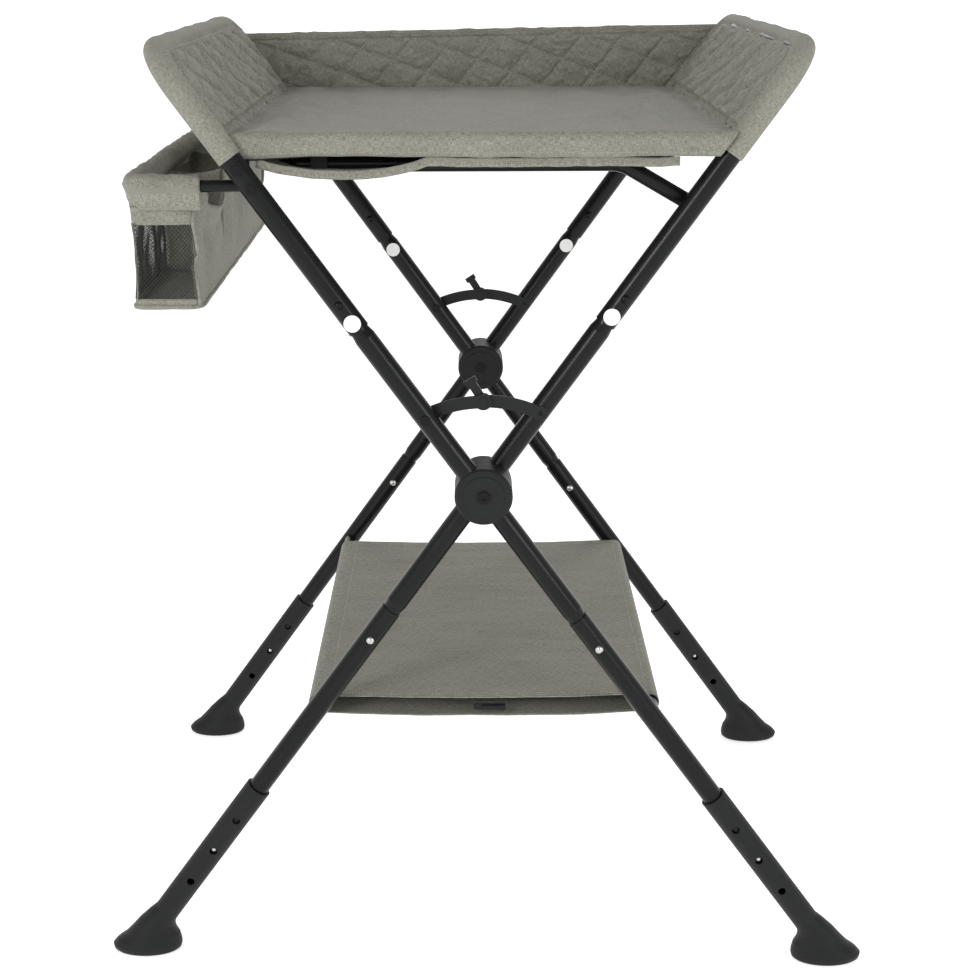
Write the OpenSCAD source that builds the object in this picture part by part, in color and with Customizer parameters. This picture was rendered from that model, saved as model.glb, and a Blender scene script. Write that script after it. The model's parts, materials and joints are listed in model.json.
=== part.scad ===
// Folding changing table: two X frames carry a bed between raised wings, with a side basket and a lower shelf.
// X runs across the table, Y from front to rear and Z up from the floor. The two hub axes lie on X = 0.
// A frame is named by the side of its wing. Its feet stand on the other side, because the legs cross at the hubs.

/* [Frame] */
// Height of the hub axis above the floor
hub_height = 532; // [500:1:560]
// Tilt of each leg from upright
leg_tilt = 35.7; // [34:0.1:37]
// Distance between the middles of the front and rear X frames
row_gap = 565; // [520:5:600]
// Distance between the two crossing legs of one X frame
leg_gap = 28; // [28:1:32]
// Outside diameter of the leg tubes
tube_d = 22; // [20:1:24]
// Wall of the leg tubes
tube_wall = 1.2; // [1:0.1:2]
// Bend radius of the wing hoops' top corners
corner_r = 45; // [35:1:60]

/* [Legs, measured along the leg from the hub] */
// Upper joint, where the upper tube ends
upper_joint = 208; // [180:1:230]
// Lower joint, where the lower tube starts
lower_joint = 165; // [150:1:190]
// Lower end of the lower tube
lower_end = 540; // [530:1:550]
// Top edge of the foot sleeve
sleeve_top = 416; // [400:1:430]
// Middle one of the three height holes
height_hole = 502; // [490:1:515]
// Spacing of the height holes
height_step = 45; // [40:1:50]
// Top of the left wing hoop
hoop_top = 534; // [520:1:550]

/* [Hubs and stays] */
// Diameter of a hub housing
hub_d = 58.5; // [50:0.5:64]
// Distance of each stay pivot from the hub
stay_reach = 98; // [90:1:110]
// Height of the stay's middle pivot above its ends
stay_rise = 12.9; // [10:0.1:16]

/* [Soft parts] */
// Height of the bed's underside
bed_z = 866; // [864:1:870]
// Thickness of the bed
bed_thick = 24; // [18:1:30]
// Top edge of the rear wall
wall_top = 966; // [930:1:970]
// Top edge of the basket
basket_top = 843; // [830:1:850]
// Bottom of the basket
basket_floor = 718; // [700:1:740]

/* [Hidden] */
$fn = 48;
front = -1;
rear = 1;
left = -1;
right = 1;
joint_play = 0.1;
running_play = 0.08;
touch_gap = 0.1;
tube_bore = tube_d - 2 * tube_wall;
neck_d = tube_bore - 2 * joint_play;
neck_wall = 1;
neck_len = 54;
shoulder = 8;
shoulder_show = 2;
tilt_sin = sin(leg_tilt);
tilt_cos = cos(leg_tilt);

// Small hardware
axle_d = 8;
hub_face = 27;
pin_d = 5;
pin_hole_d = pin_d + 2 * joint_play;
screw_head_d = 10;
screw_head_h = 2.5;
button_d = 8;
button_hole_d = 8.4;
button_travel = 3;
upper_button = 240;
lower_button = 203;
label_d = 17;
label_h = 0.4;

// Left frame hardware
left_tube_end = 412;
left_hoop_start = 345;
clip_screw = 400;
basket_screw = 378;

// Bed support bar
bar_d = 16;
bar_wall = 1.2;
bar_y = 238.5;
bar_z = 855;
bar_rise_angle = 30;
bar_left_x = -205;
bar_bend_r = 35;
bar_corner_r = 35;
bar_bolt_d = 6;
bar_pivot = leg_point(350);
clip_sheet = 2.5;

// Basket
rod_d = 12;
rod_corner_r = 20;
rod_x = -340;
rod_mid_y = (tube_d + rod_d - leg_gap) / 2 + touch_gap;
basket_out_x = -333.5;
basket_in_x = -271;
basket_y = 273.5;
basket_wall = 2.5;
basket_taper = 5;
window_low = 10;
window_high = 86;
window_border = 14;
divider_y = 92;

// Shelf and bed rods
shelf_bar_at = 304;
shelf_bar_d = 16;
bed_rod_z = 880;
bed_rod_d = 14;
shelf_y = 255;
bed_x = 222;
bed_front = -284;
bed_rear = 279;
wall_y = 280;
wall_thick = 5;
wall_left = -276;
wall_right = 270;
wall_low = 888;
pad_thick = 14;

// Stays
stay_half = stay_reach * tilt_sin;
stay_mid_z = hub_height + stay_reach * tilt_cos + stay_rise;
stay_angle = 2 * atan(stay_rise / stay_half);
stay_r = stay_half / sin(stay_angle);
stay_w = 13;
stay_sheet = 1.8;
stay_layer = 1;

// The foot's outline in rings from the floor up to its sleeve, for a right leg: height, middle, half length,
// half width and tilt of each ring, with the leg's line meeting the floor at x = 0
foot_rings = [
    [0, 10, 34, 19.5, 0],
    [2.5, 10, 37, 22, 0],
    [7, 10, 38, 23, 0],
    [12, 12, 35.5, 22.5, 0],
    [18, 15.5, 30.5, 21, 0],
    [25, 18.2, 24.8, 18.6, 4],
    [33, 22, 19.8, 16.6, 12],
    [41, 28, 15.6, 14.6, 25]
];
foot_neck = 598;
sleeve_d = 27.5;
ring_points = 36;

// ---- Placing and general shapes ----

// Y of the middle of one leg
function leg_y(wing, row) = row * row_gap / 2 + wing * leg_gap / 2;

// Point on the right leg's line, as [x, z], at a distance up from the hub
function leg_point(along) = [along * tilt_sin, hub_height + along * tilt_cos];

// Draws a child as it is for the right frame, and as its mirror image for the left one
module handed(wing) {
    if (wing == left)
        mirror([1, 0, 0])
            children();
    else
        children();
}

// Draws a child as it is for the front row, and as its mirror image for the rear one
module rowed(row) {
    if (row == rear)
        mirror([0, 1, 0])
            children();
    else
        children();
}

// Puts a child in a leg's own frame: +Z runs up the leg from the hub and +X leans outwards
module on_leg(wing, row) {
    translate([0, leg_y(wing, row), hub_height])
        handed(wing)
            rotate([0, leg_tilt, 0])
                children();
}

// A cylinder that runs along Y from one value to another
module y_cylinder(y0, y1, d) {
    translate([0, y0, 0])
        rotate([-90, 0, 0])
            cylinder(h = y1 - y0, d = d);
}

// A round bar that starts up +Z and turns: each step is [straight length, bend angle, bend radius, bend direction]
module bent_bar(steps, d, i = 0) {
    if (i < len(steps)) {
        straight = steps[i][0];
        angle = steps[i][1];
        radius = steps[i][2];
        direction = steps[i][3];
        cylinder(h = straight, d = d);
        translate([0, 0, straight])
            rotate([0, 0, direction]) {
                if (angle > 0)
                    translate([radius, 0, 0])
                        rotate([90, 0, 180])
                            rotate_extrude(angle = angle)
                                translate([radius, 0])
                                    circle(d = d);
                translate([radius * (1 - cos(angle)), 0, radius * sin(angle)])
                    rotate([0, angle, 0])
                        rotate([0, 0, -direction])
                            bent_bar(steps, d, i + 1);
            }
    }
}

// A straight tube between two heights
module tube(z0, z1, d, bore) {
    translate([0, 0, z0])
        difference() {
            cylinder(h = z1 - z0, d = d);
            translate([0, 0, -1])
                cylinder(h = z1 - z0 + 2, d = bore);
        }
}

// ---- Legs ----

// Ring profile of a link tube: the full tube through the hub, with a narrower neck at each end
module link_profile() {
    neck_r = neck_d / 2;
    up = upper_joint - shoulder_show;
    down = -lower_joint + shoulder_show;
    polygon([
        [neck_r - neck_wall, down - neck_len],
        [neck_r, down - neck_len],
        [neck_r, down],
        [tube_d / 2, down + shoulder],
        [tube_d / 2, up - shoulder],
        [neck_r, up],
        [neck_r, up + neck_len],
        [neck_r - neck_wall, up + neck_len]
    ]);
}

module button_hole(along) {
    translate([0, 0, along])
        y_cylinder(-tube_d, 0, button_hole_d);
}

module link_tube(wing, row) {
    color("#191a1b")
        on_leg(wing, row)
            difference() {
                rotate_extrude()
                    link_profile();
                y_cylinder(-tube_d, tube_d, axle_d + 2 * running_play);
                translate([0, 0, stay_reach])
                    y_cylinder(-tube_d, tube_d, pin_hole_d);
                button_hole(upper_button);
                button_hole(-lower_button);
            }
}

module left_upper_tube(row) {
    color("#191a1b")
        on_leg(left, row)
            difference() {
                tube(upper_joint, left_tube_end, tube_d, tube_bore);
                button_hole(upper_button);
                for (along = [clip_screw, basket_screw])
                    translate([0, 0, along])
                        y_cylinder(-tube_d, tube_d, pin_hole_d);
            }
}

module lower_tube(wing, row) {
    color("#191a1b")
        on_leg(wing, row)
            difference() {
                tube(-lower_end, -lower_joint, tube_d, tube_bore);
                button_hole(-lower_button);
                button_hole(-height_hole);
            }
}

// ---- Wing hoops ----

// The steps of a U-shaped tube that starts at a distance up the front leg and comes back down the rear leg
function hoop_run(start) = [
    [hoop_top - corner_r - start, 90, corner_r, 90],
    [row_gap - 2 * corner_r, 90, corner_r, 90],
    [hoop_top - corner_r - start, 0, 0, 0]
];

// A tube U on one frame, from a distance up its legs
module hoop_tube(wing, start, d, bore) {
    on_leg(wing, front)
        translate([0, 0, start])
            difference() {
                bent_bar(hoop_run(start), d);
                bent_bar(hoop_run(start), bore);
            }
}

module left_wing_hoop() {
    color("#191a1b")
        difference() {
            hoop_tube(left, left_hoop_start, neck_d, neck_d - 2 * neck_wall);
            for (row = [front, rear], along = [clip_screw, basket_screw])
                on_leg(left, row)
                    translate([0, 0, along])
                        y_cylinder(-tube_d, tube_d, pin_hole_d);
        }
}

// The right hoop is one tube with its upper legs
module right_wing_hoop() {
    color("#191a1b")
        difference() {
            hoop_tube(right, upper_joint, tube_d, tube_bore);
            for (row = [front, rear])
                on_leg(right, row)
                    button_hole(upper_button);
            for (row = [front, rear])
                translate([bar_pivot.x, leg_y(right, row), bar_pivot.y])
                    y_cylinder(row == front ? 0 : -tube_d, row == front ? tube_d : 0, bar_bolt_d + 2 * joint_play);
        }
}

// A bar that joins the front and rear legs of one frame, between their inner faces
module cross_bar(wing, x, z, d, bore) {
    y0 = leg_y(wing, front) + tube_d / 2 + touch_gap;
    y1 = leg_y(wing, rear) - tube_d / 2 - touch_gap;
    translate([x, y0, z])
        rotate([-90, 0, 0])
            tube(0, y1 - y0, d, bore);
}

module shelf_bar(wing) {
    point = leg_point(-shelf_bar_at);
    color("#191a1b")
        cross_bar(wing, wing * point.x, point.y, shelf_bar_d, shelf_bar_d - 2 * bar_wall);
}

module bed_rod(wing) {
    point = leg_point((bed_rod_z - hub_height) / tilt_cos);
    color("#191a1b")
        cross_bar(wing, wing * point.x, bed_rod_z, bed_rod_d, bed_rod_d - 2 * bar_wall);
}

// ---- Hubs ----

// Half of a hub's housing, around one leg: it is turned from the middle of the X frame out to its flat face
module hub_shell(wing, row) {
    edge = 2;
    split = 0.3;
    rim = hub_d / 2;
    disc_r = 21;
    disc_step = 0.8;
    color("#1d1e1f")
        difference() {
            translate([0, row * row_gap / 2, hub_height])
                rotate([wing == left ? 90 : -90, 0, 0])
                    rotate_extrude()
                        polygon([
                            [0, split],
                            [rim, split],
                            [rim, hub_face - edge - disc_step],
                            [rim - edge, hub_face - disc_step],
                            [disc_r + disc_step, hub_face - disc_step],
                            [disc_r, hub_face],
                            [0, hub_face]
                        ]);
            on_leg(wing, row) {
                translate([0, 0, -hub_d])
                    cylinder(h = 2 * hub_d, d = tube_d + 2 * joint_play);
                y_cylinder(-hub_d, hub_d, axle_d + 2 * running_play);
            }
        }
}

// An axle bolt with a low round head at the front and a nut at the back
module hub_axle_bolts() {
    face = hub_face + touch_gap;
    head_h = 2;
    head_d = 13;
    nut_h = 5;
    nut_d = 15;
    socket_d = 5;
    socket_depth = 1.2;
    lap = 0.5;
    color("#26282a")
        for (row = [front, rear])
            translate([0, row * row_gap / 2, hub_height]) {
                y_cylinder(-face - lap, face + nut_h, axle_d);
                difference() {
                    y_cylinder(-face - head_h, -face, head_d);
                    rotate([0, 30, 0])
                        rotate([90, 0, 0])
                            translate([0, 0, face + head_h - socket_depth])
                                cylinder(h = head_h, d = socket_d, $fn = 6);
                }
                rotate([-90, 0, 0])
                    translate([0, 0, face])
                        cylinder(h = nut_h, d = nut_d, $fn = 6);
            }
}

// ---- Fasteners ----

// A screw or rivet along Y, with a head at the low end and a nut or burr at the high end
module cross_pin(y0, y1, end_h) {
    y_cylinder(y0, y1, pin_d);
    y_cylinder(y0 - screw_head_h, y0, screw_head_d);
    y_cylinder(y1 - end_h, y1, end_h > 0 ? screw_head_d - 1 : pin_d);
}

module left_frame_fasteners() {
    tube_face = tube_d / 2 + touch_gap;
    clip_face = tube_face + clip_sheet + touch_gap;
    rod_face = tube_face + rod_d + touch_gap;
    nut_h = 3;
    arm_face = leg_gap / 2 - 1;
    color("#26282a")
        for (row = [front, rear]) {
            on_leg(left, row) {
                translate([0, 0, clip_screw])
                    rowed(row)
                        cross_pin(-tube_face, clip_face + nut_h, nut_h);
                translate([0, 0, basket_screw])
                    cross_pin(-tube_face, rod_face + nut_h, nut_h);
                translate([0, 0, stay_reach])
                    cross_pin(-tube_face, arm_face, 0);
            }
        }
}

module right_frame_fasteners() {
    tube_face = tube_d / 2 + touch_gap;
    arm_face = leg_gap / 2 - 1;
    color("#26282a")
        for (row = [front, rear]) {
            on_leg(right, row)
                translate([0, 0, stay_reach])
                    mirror([0, 1, 0])
                        cross_pin(-tube_face, arm_face, 0);
            translate([bar_pivot.x, 0, bar_pivot.y])
                rowed(row)
                    support_bar_bolt(abs(leg_y(right, row)));
        }
}

// The support bar's pivot bolt, with its spacer, drawn at the front: from inside the tube to the bar's inner face
module support_bar_bolt(leg_middle) {
    spacer_d = 12;
    head_d = 12;
    head_h = 3;
    bolt_start = 6;
    inner_face = -(bar_y - bar_d / 2) + touch_gap;
    outer_face = -(bar_y + bar_d / 2) - touch_gap;
    tube_side = -leg_middle + tube_d / 2 + touch_gap;
    y_cylinder(-leg_middle + bolt_start, inner_face + head_h, bar_bolt_d);
    y_cylinder(inner_face, inner_face + head_h, head_d);
    y_cylinder(tube_side, outer_face, spacer_d);
}

// Flat round labels on the upper joints, one in front of each leg
module label_discs(wing) {
    label_at = [191, 218];
    color("white")
        for (row = [front, rear])
            on_leg(wing, row)
                translate([0, 0, row == front ? label_at[1] : label_at[0]])
                    y_cylinder(-tube_d / 2 - label_h - touch_gap, -tube_d / 2 - touch_gap, label_d);
}

// ---- Bed support bar ----

module support_bar() {
    first = (bar_z - bar_pivot.y) / sin(bar_rise_angle);
    setback = bar_bend_r * tan(bar_rise_angle / 2);
    level_start = bar_pivot.x - first * cos(bar_rise_angle);
    level = level_start - setback - bar_left_x - bar_corner_r;
    past_pivot = 9;
    plug = 24;
    rise = first - setback + past_pivot;
    across = 2 * (bar_y - bar_corner_r);
    function run(rise) = [
        [rise, bar_rise_angle, bar_bend_r, 180],
        [level, 90, bar_corner_r, 90],
        [across, 90, bar_corner_r, 90],
        [level, bar_rise_angle, bar_bend_r, 180],
        [rise, 0, 0, 0]
    ];
    color("#191a1b")
        translate([bar_pivot.x, -bar_y, bar_pivot.y])
            difference() {
                rotate([0, bar_rise_angle - 90, 0])
                    translate([0, 0, -past_pivot])
                        bent_bar(run(rise), bar_d);
                rotate([0, bar_rise_angle - 90, 0])
                    translate([0, 0, plug - past_pivot])
                        bent_bar(run(rise - plug), bar_d - 2 * bar_wall);
                for (end = [0, 2 * bar_y])
                    y_cylinder(end - bar_d, end + bar_d, bar_bolt_d + 2 * running_play);
            }
}

// Snap clips that hold the support bar's arms from above, mouth down, on brackets from the left frame's tubes
module support_bar_clips() {
    clear = 0.3;
    clip_x0 = -168;
    clip_x1 = -152;
    grip = 3;
    roof = 1.9;
    lap = 0.01;
    hold_low = bar_z - grip;
    top = bar_z + bar_d / 2 + clear;
    screw = leg_point(clip_screw);
    tab = 20;
    color("#1d1e1f")
        for (row = [front, rear]) {
            tube_side = -(abs(leg_y(left, row)) - tube_d / 2) + touch_gap;
            inside = bar_d / 2 + clear;
            rowed(row) {
                for (side = [-1, 1])
                    translate([clip_x0, -bar_y + side * (inside + clip_sheet / 2) - clip_sheet / 2, hold_low])
                        cube([clip_x1 - clip_x0, clip_sheet, top - hold_low]);
                translate([clip_x0, -bar_y - inside - clip_sheet, top - lap])
                    cube([clip_x1 - clip_x0, 2 * (inside + clip_sheet), roof]);
                translate([0, 0, top - lap])
                    linear_extrude(roof)
                        polygon([
                            [-screw.x - tab / 2, tube_side],
                            [-screw.x + tab / 2, tube_side],
                            [clip_x1, -bar_y - inside],
                            [clip_x0, -bar_y - inside]
                        ]);
                difference() {
                    translate([-screw.x - tab / 2, tube_side, screw.y - tab / 2])
                        cube([tab, clip_sheet, top + roof - lap - screw.y + tab / 2]);
                    translate([-screw.x, 0, screw.y])
                        y_cylinder(-row_gap, 0, pin_hole_d);
                }
            }
        }
}

// ---- Basket ----

module basket_rod() {
    screw = leg_point(basket_screw);
    eye_y = leg_y(left, front) + tube_d / 2 + touch_gap + rod_d / 2;
    span = 2 * (rod_mid_y - eye_y);
    eye_d = 13;
    start = 5;
    reach = -screw.x - rod_x - rod_corner_r - start;
    run = [
        [reach, 90, rod_corner_r, 90],
        [span - 2 * rod_corner_r, 90, rod_corner_r, 90],
        [reach, 0, 0, 0]
    ];
    color("#191a1b")
        translate([-screw.x, eye_y, screw.y])
            difference() {
                union() {
                    for (end = [0, span])
                        y_cylinder(end - rod_d / 2 + 1, end + rod_d / 2 - 1, eye_d);
                    rotate([0, -90, 0])
                        translate([0, 0, start])
                            bent_bar(run, rod_d);
                }
                y_cylinder(-rod_d, span + rod_d, pin_hole_d);
            }
}

// Side outline of the basket, in by a wall's thickness where asked, as [x, z] points
function basket_outline(in) =
    let (low = basket_floor + in)
    let (corner = 14)
    [
        [basket_out_x + in, basket_top + (in > 0 ? 1 : 0)],
        [basket_out_x + basket_taper + in, low + corner],
        [basket_out_x + basket_taper + corner, low],
        [basket_in_x - basket_taper - corner, low],
        [basket_in_x - basket_taper - in, low + corner],
        [basket_in_x - in, basket_top + (in > 0 ? 1 : 0)]
    ];

// The outline drawn along Y, with its outer upright corners cut off inside the rod's bends
module basket_block(in, y0, y1) {
    cut = 10;
    out = basket_out_x + in;
    intersection() {
        translate([0, y1, 0])
            rotate([90, 0, 0])
                linear_extrude(y1 - y0)
                    polygon(basket_outline(in));
        translate([0, 0, basket_floor - 1])
            linear_extrude(basket_top - basket_floor + 3)
                polygon([
                    [out, y0 + cut],
                    [out + cut, y0],
                    [0, y0],
                    [0, y1],
                    [out + cut, y1],
                    [out, y1 - cut]
                ]);
    }
}

// The mesh windows: one in the outer side and one in each end
module basket_windows(play, depth) {
    lean = 3.2;
    z0 = basket_floor + window_low + play;
    z1 = basket_floor + window_high - play;
    x0 = basket_out_x + basket_taper + window_border + play;
    x1 = basket_in_x - basket_taper - window_border - play;
    for (end = [front, rear])
        translate([x0, end * (basket_y - basket_wall / 2) + rod_mid_y - depth / 2, z0])
            cube([x1 - x0, depth, z1 - z0]);
    translate([basket_out_x + basket_wall / 2 + lean - depth / 2, -basket_y + window_border + rod_mid_y + play, z0])
        cube([depth, 2 * (basket_y - window_border - play), z1 - z0]);
}

module basket_shell() {
    wide = 12;
    color("#7f8176")
        difference() {
            basket_block(0, rod_mid_y - basket_y, rod_mid_y + basket_y);
            basket_block(basket_wall, rod_mid_y - basket_y + basket_wall, rod_mid_y + basket_y - basket_wall);
            basket_windows(0, wide);
        }
}

module basket_mesh() {
    sheet = 1;
    play = 0.2;
    color("#3a3c3a")
        basket_windows(play, sheet);
}

module basket_dividers() {
    sheet = 2;
    play = 2.8;
    color("#7f8176")
        for (side = [-1, 1])
            intersection() {
                basket_block(basket_wall + play, -basket_y, basket_y);
                translate([basket_out_x, side * divider_y + rod_mid_y - sheet / 2, basket_floor])
                    cube([-basket_out_x, sheet, basket_top - basket_floor - 12]);
            }
}

// ---- Soft panels ----

// The padded panel inside a wing hoop, in the plane of the hoop's legs
module wing_pad(wing) {
    along0 = 440;
    along1 = hoop_top - 26;
    inset = 22;
    color("#85877b")
        handed(wing)
            translate([0, wing * leg_gap / 2, hub_height])
                rotate([0, leg_tilt, 0])
                    translate([-pad_thick / 2, -row_gap / 2 + inset, along0])
                        cube([pad_thick, row_gap - 2 * inset, along1 - along0]);
}

module bed_pad() {
    edge = 6;
    color("#85877b")
        translate([0, bed_rear, 0])
            rotate([90, 0, 0])
                linear_extrude(bed_rear - bed_front)
                    polygon([
                        [-bed_x, bed_z + edge],
                        [-bed_x + edge, bed_z],
                        [bed_x - edge, bed_z],
                        [bed_x, bed_z + edge],
                        [bed_x, bed_z + bed_thick - edge],
                        [bed_x - edge, bed_z + bed_thick],
                        [-bed_x + edge, bed_z + bed_thick],
                        [-bed_x, bed_z + bed_thick - edge]
                    ]);
}

module rear_wall() {
    color("#6f7166")
        translate([wall_left, wall_y, wall_low])
            cube([wall_right - wall_left, wall_thick, wall_top - wall_low]);
}

module shelf_cloth() {
    point = leg_point(-shelf_bar_at);
    over_bar = 8;
    sheet = 2.5;
    reach = abs(point.x) + over_bar;
    color("#85877b")
        translate([-reach, -shelf_y, point.y + shelf_bar_d / 2 + 0.4])
            cube([2 * reach, 2 * shelf_y, sheet]);
}

// ---- Stays ----

// One arched arm of a stay, between its leg and the middle pivot
module stay_arm(wing, row) {
    pivot = leg_point(stay_reach);
    near = wing == left ? -stay_layer - stay_sheet : stay_layer;
    middle_d = 17;
    end_d = 15;
    pin_reach = 1.7;
    head_h = 1;
    color("#1b1c1d")
        translate([0, row * row_gap / 2, 0])
            difference() {
                union() {
                    translate([0, near + stay_sheet, stay_mid_z - stay_r])
                        rotate([90, 0, 0])
                            rotate([0, 0, wing == left ? 90 : 90 - stay_angle])
                                rotate_extrude(angle = stay_angle)
                                    translate([stay_r - stay_w / 2, 0])
                                        square([stay_w, stay_sheet]);
                    translate([0, 0, stay_mid_z]) {
                        y_cylinder(near, near + stay_sheet, middle_d);
                        if (wing == left)
                            y_cylinder(near - head_h, near, screw_head_d - 1);
                        else {
                            y_cylinder(near - pin_reach, near, pin_d);
                            y_cylinder(near + stay_sheet, near + stay_sheet + head_h, screw_head_d - 1);
                        }
                    }
                    translate([wing * pivot.x, 0, pivot.y])
                        y_cylinder(near, near + stay_sheet, end_d);
                }
                translate([wing * pivot.x, 0, pivot.y])
                    y_cylinder(-leg_gap, leg_gap, pin_d + 2 * running_play);
            }
}

// The thumb lever that turns on the right arm's middle pin and unlocks the stay
module stay_lever(row) {
    plate = 1.4;
    plate_d = 12;
    tab_out = 27;
    tab_in = 9.5;
    tab_x = -4;
    tab_w = 9;
    tab_thick = 3.3;
    end_x = -6;
    end_w = 13;
    end_h = 6;
    lean = 33;
    color("#1b1c1d")
        translate([0, row * row_gap / 2, stay_mid_z])
            rotate([0, -lean, 0])
                difference() {
                    union() {
                        y_cylinder(-plate / 2, plate / 2, plate_d);
                        translate([tab_x, -plate / 2, 0])
                            cube([tab_w, plate, tab_out]);
                        translate([tab_x, -plate / 2, tab_in])
                            cube([tab_w, tab_thick, tab_out - tab_in]);
                        translate([end_x, -plate / 2, tab_out - end_h])
                            cube([end_w, tab_thick, end_h]);
                    }
                    y_cylinder(-plate, plate, pin_d + 2 * running_play);
                }
}

// ---- Feet and buttons ----

// Every point of the foot's surface, ring by ring. The last ring is the sleeve's own circle.
function foot_points() =
    let (neck_z = hub_height - foot_neck * tilt_cos)
    let (neck = [neck_z, neck_z * tilt_sin / tilt_cos, sleeve_d / 2, sleeve_d / 2, leg_tilt])
    [for (ring = concat(foot_rings, [neck]), i = [0 : ring_points - 1])
        let (turn = 360 * i / ring_points)
        [ring[1] + ring[2] * cos(turn) * cos(ring[4]),
         ring[3] * sin(turn),
         ring[0] - ring[2] * cos(turn) * sin(ring[4])]];

// Quads between the rings, and the two flat ends
function foot_faces() =
    let (last = len(foot_rings))
    concat(
        [for (level = [0 : last - 1], i = [0 : ring_points - 1])
            let (next = (i + 1) % ring_points)
            let (low = level * ring_points)
            [low + i, low + ring_points + i, low + ring_points + next, low + next]],
        [[for (i = [0 : ring_points - 1]) i]],
        [[for (i = [ring_points - 1 : -1 : 0]) last * ring_points + i]]
    );

// A telescopic sleeve, with its moulded foot as a second solid below it
module foot(wing, row) {
    bore_end = 592;
    floor_x = hub_height * tilt_sin / tilt_cos;
    color("#232527") {
        translate([0, leg_y(wing, row), 0])
            handed(wing)
                translate([-floor_x, 0, 0])
                    polyhedron(points = foot_points(), faces = foot_faces());
        on_leg(wing, row)
            difference() {
                translate([0, 0, -foot_neck + touch_gap])
                    cylinder(h = foot_neck - sleeve_top - touch_gap, d = sleeve_d);
                translate([0, 0, -bore_end])
                    cylinder(h = bore_end - sleeve_top + 1, d = tube_d + 2 * running_play);
                for (step = [-1, 0, 1])
                    button_hole(-height_hole + step * height_step);
            }
    }
}

// A snap button with a round nose, seen in front of its leg, and a flange that keeps it inside the tube
module snap_button(wing, row, along, flange_y, nose_y, finish) {
    flange_d = 10.8;
    dome_r = 5;
    color(finish)
        on_leg(wing, row)
            translate([0, 0, along]) {
                y_cylinder(-flange_y, -flange_y + 1, flange_d);
                intersection() {
                    y_cylinder(-nose_y, -flange_y + 0.5, button_d);
                    translate([0, -nose_y + dome_r, 0])
                        union() {
                            sphere(r = dome_r);
                            y_cylinder(0, 20, button_d + 1);
                        }
                }
            }
}

module lower_button(wing, row) {
    snap_button(wing, row, -lower_button, 6.4, 13.3, "silver");
}

module upper_button(wing, row) {
    snap_button(wing, row, upper_button, 6.4, 12.6, "#26282a");
}

// Flush with the lower tube, so that the sleeve can slide over it
module height_button(wing, row) {
    snap_button(wing, row, -height_hole, 8, 10.9, "silver");
}

// ---- Nodes ----

left_wing_hoop();
left_upper_tube(front);  // left_front_upper_tube
left_upper_tube(rear);  // left_rear_upper_tube
link_tube(left, front);  // left_front_link_tube
link_tube(left, rear);  // left_rear_link_tube
lower_tube(left, front);  // left_front_lower_tube
lower_tube(left, rear);  // left_rear_lower_tube
shelf_bar(left);  // left_shelf_bar
bed_rod(left);  // left_bed_rod
hub_shell(left, front);  // left_front_hub_shell
hub_shell(left, rear);  // left_rear_hub_shell
hub_axle_bolts();
left_frame_fasteners();
label_discs(left);  // left_label_discs
support_bar_clips();
basket_rod();
basket_shell();
basket_mesh();
basket_dividers();
wing_pad(left);  // left_wing_pad
bed_pad();
rear_wall();
shelf_cloth();
right_wing_hoop();
link_tube(right, front);  // right_front_link_tube
link_tube(right, rear);  // right_rear_link_tube
lower_tube(right, front);  // right_front_lower_tube
lower_tube(right, rear);  // right_rear_lower_tube
shelf_bar(right);  // right_shelf_bar
bed_rod(right);  // right_bed_rod
hub_shell(right, front);  // right_front_hub_shell
hub_shell(right, rear);  // right_rear_hub_shell
right_frame_fasteners();
label_discs(right);  // right_label_discs
wing_pad(right);  // right_wing_pad
support_bar();
stay_arm(left, front);  // front_stay_left_arm
stay_arm(right, front);  // front_stay_right_arm
stay_arm(left, rear);  // rear_stay_left_arm
stay_arm(right, rear);  // rear_stay_right_arm
stay_lever(front);  // front_stay_lever
stay_lever(rear);  // rear_stay_lever
foot(left, front);  // left_front_foot
foot(left, rear);  // left_rear_foot
foot(right, front);  // right_front_foot
foot(right, rear);  // right_rear_foot
height_button(left, front);  // left_front_height_button
height_button(left, rear);  // left_rear_height_button
height_button(right, front);  // right_front_height_button
height_button(right, rear);  // right_rear_height_button
lower_button(left, front);  // left_front_lower_button
lower_button(left, rear);  // left_rear_lower_button
lower_button(right, front);  // right_front_lower_button
lower_button(right, rear);  // right_rear_lower_button
upper_button(left, front);  // left_front_upper_button
upper_button(left, rear);  // left_rear_upper_button
upper_button(right, front);  // right_front_upper_button
upper_button(right, rear);  // right_rear_upper_button
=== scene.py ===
import json
import math
from contextlib import contextmanager

import bmesh
import bpy
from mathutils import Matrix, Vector, noise
from mathutils.bvhtree import BVHTree


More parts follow.
